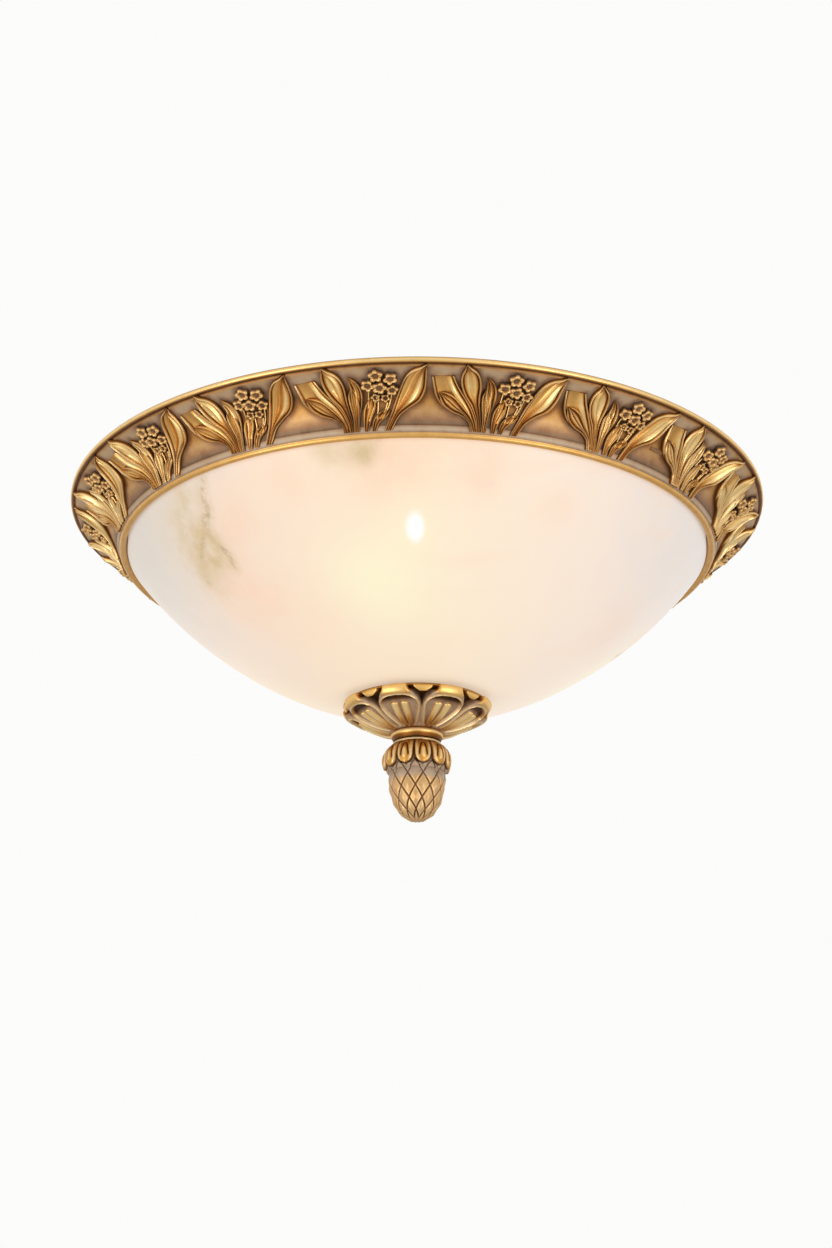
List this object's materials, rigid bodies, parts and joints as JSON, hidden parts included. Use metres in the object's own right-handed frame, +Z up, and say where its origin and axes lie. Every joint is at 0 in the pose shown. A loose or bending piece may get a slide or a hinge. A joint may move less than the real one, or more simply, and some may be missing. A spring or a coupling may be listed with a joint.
{
  "type": "flush ceiling light",
  "caption": "Flush ceiling light with an alabaster bowl in a cast leaf-patterned brass ring, held up by a centre rod, rosette and acorn finial.",
  "frame": {"origin": "centre of the ceiling bracket's two slots, on the ceiling plane", "axes": "+Z up into the ceiling; X along the ceiling bracket; the light hangs below the origin"},
  "size_m": [0.5, 0.5, 0.23],
  "materials": {
    "antique_brass": "antique patina, worn to bright gold on the high points",
    "alabaster": "polished, cloudy and veined, lit from inside",
    "white_enamel": "gloss white reflector paint",
    "porcelain": "glazed",
    "opal_globe": "opal diffuser",
    "white_plastic": "smooth",
    "clear_nylon": "natural nylon",
    "rubber": "matt black",
    "felt": "pressed felt",
    "lead_sheath": "soft sheath",
    "plain_brass": "turned",
    "nickel": "nickel plated, knurled by its thread",
    "zinc_steel": "bright zinc plate"
  },
  "bodies": {
    "root": {"trim_ring": "antique_brass", "ceiling_bracket": "zinc_steel", "bracket_studs": "zinc_steel", "bracket_lock_nuts": "zinc_steel", "pan_washers": "zinc_steel", "pan_cap_nuts": "zinc_steel", "chassis_pan": "white_enamel", "ring_screws": "zinc_steel", "rim_gasket": "rubber", "centre_rod": "zinc_steel", "rod_top_nut": "zinc_steel", "rod_lower_washer": "zinc_steel", "rod_lower_nut": "zinc_steel", "holder_bracket_1": "zinc_steel", "lamp_holder_1": "porcelain", "screw_shell_1": "plain_brass", "centre_contact_1": "plain_brass", "holder_bracket_2": "zinc_steel", "lamp_holder_2": "porcelain", "screw_shell_2": "plain_brass", "centre_contact_2": "plain_brass", "holder_bracket_3": "zinc_steel", "lamp_holder_3": "porcelain", "screw_shell_3": "plain_brass", "centre_contact_3": "plain_brass", "holder_screws": "zinc_steel", "foot_rivets": "zinc_steel", "cable_grommet": "rubber", "terminal_block": "clear_nylon", "terminal_screws": "plain_brass", "earth_screw": "zinc_steel", "holder_leads": "lead_sheath"},
    "shade": {"alabaster_bowl": "alabaster", "felt_washer": "felt", "centring_bush": "white_plastic", "seat_washer": "rubber", "rosette": "antique_brass"},
    "collar": {"finial_collar": "antique_brass"},
    "finial": {"acorn_finial": "antique_brass", "finial_insert": "plain_brass"},
    "bulb_1": {"bulb_cap_1": "nickel", "bulb_housing_1": "white_plastic", "bulb_diffuser_1": "opal_globe"},
    "bulb_2": {"bulb_cap_2": "nickel", "bulb_housing_2": "white_plastic", "bulb_diffuser_2": "opal_globe"},
    "bulb_3": {"bulb_cap_3": "nickel", "bulb_housing_3": "white_plastic", "bulb_diffuser_3": "opal_globe"}
  },
  "joints": [
    {"name": "shade_drop", "type": "slide", "parent": "root", "child": "shade", "axis": [0, 0, -1], "range_m": [0, 0.15]},
    {"name": "finial_travel", "type": "slide", "parent": "shade", "child": "collar", "axis": [0, 0, -1], "range_m": [0, 0.008]},
    {"name": "finial_turn", "type": "hinge", "parent": "collar", "child": "finial", "pos_m": [0, 0, -0.18], "axis": [0, 0, -1], "range_deg": [0, 2880]},
    {"name": "bulb_1_out", "type": "slide", "parent": "root", "child": "bulb_1", "axis": [0, -1, 0], "range_m": [0, 0.027]},
    {"name": "bulb_2_out", "type": "slide", "parent": "root", "child": "bulb_2", "axis": [0.866, 0.5, 0], "range_m": [0, 0.027]},
    {"name": "bulb_3_out", "type": "slide", "parent": "root", "child": "bulb_3", "axis": [-0.866, 0.5, 0], "range_m": [0, 0.027]}
  ],
  "couplings": [
    {"joint": "finial_travel", "follows": "finial_turn", "m_per_rad": 0.00015915}
  ]
}
